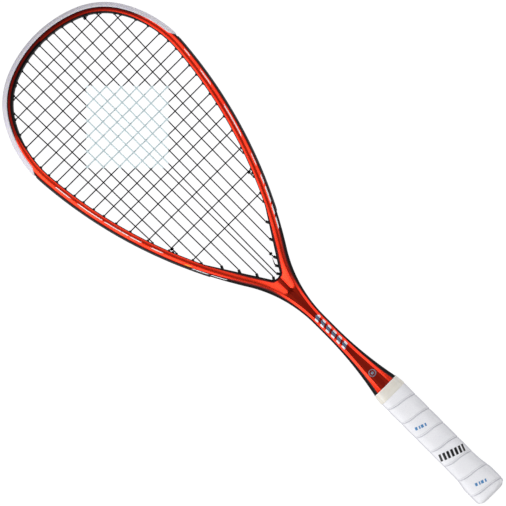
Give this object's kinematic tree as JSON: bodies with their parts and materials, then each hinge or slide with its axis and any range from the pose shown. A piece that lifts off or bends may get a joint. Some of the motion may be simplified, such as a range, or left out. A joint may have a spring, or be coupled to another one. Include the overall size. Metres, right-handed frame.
{
  "type": "squash racket",
  "caption": "Squash racket with a teardrop hoop, strings laced through grommets, a bumper over the crown, a slim shaft, and a spirally wound grip over a flared butt.",
  "frame": {"origin": "centre of the flat end of the butt cap", "axes": "+Y from the butt to the tip along the racket's long axis, +X across the head, +Z square to the strings, so the racket lies flat"},
  "size_m": [0.2132, 0.6859, 0.0314],
  "materials": {
    "frame_paint": "metallic orange-red lacquer fading to black, over a carbon laminate",
    "bumper_plastic": "frosted pale grey nylon, slightly translucent",
    "grommet_plastic": "black moulded nylon",
    "string": "black multifilament nylon with a pale stencil on part of the bed",
    "grip": "soft white polyurethane with a fine grain, wound in a spiral",
    "cap_plastic": "white moulded nylon",
    "staple_steel": "plain steel wire",
    "collar_tape": "cream stretch tape, slightly translucent"
  },
  "bodies": {
    "root": {"hoop": "frame_paint", "throat": "frame_paint", "throat_yoke": "frame_paint", "shaft": "frame_paint", "bumper_guard": "bumper_plastic", "grommet_strip_left": "grommet_plastic", "grommet_strip_right": "grommet_plastic", "tie_off_grommet": "grommet_plastic", "main_string": "string", "cross_string": "string", "tie_off_knots": "string", "butt_cap": "cap_plastic", "cap_staples": "staple_steel", "grip_tape": "grip", "collar_tape": "collar_tape", "throat_grommet_left_1": "grommet_plastic", "throat_grommet_left_2": "grommet_plastic", "throat_grommet_left_3": "grommet_plastic", "throat_grommet_left_4": "grommet_plastic", "throat_grommet_right_1": "grommet_plastic", "throat_grommet_right_2": "grommet_plastic", "throat_grommet_right_3": "grommet_plastic", "throat_grommet_right_4": "grommet_plastic"}
  },
  "joints": []
}
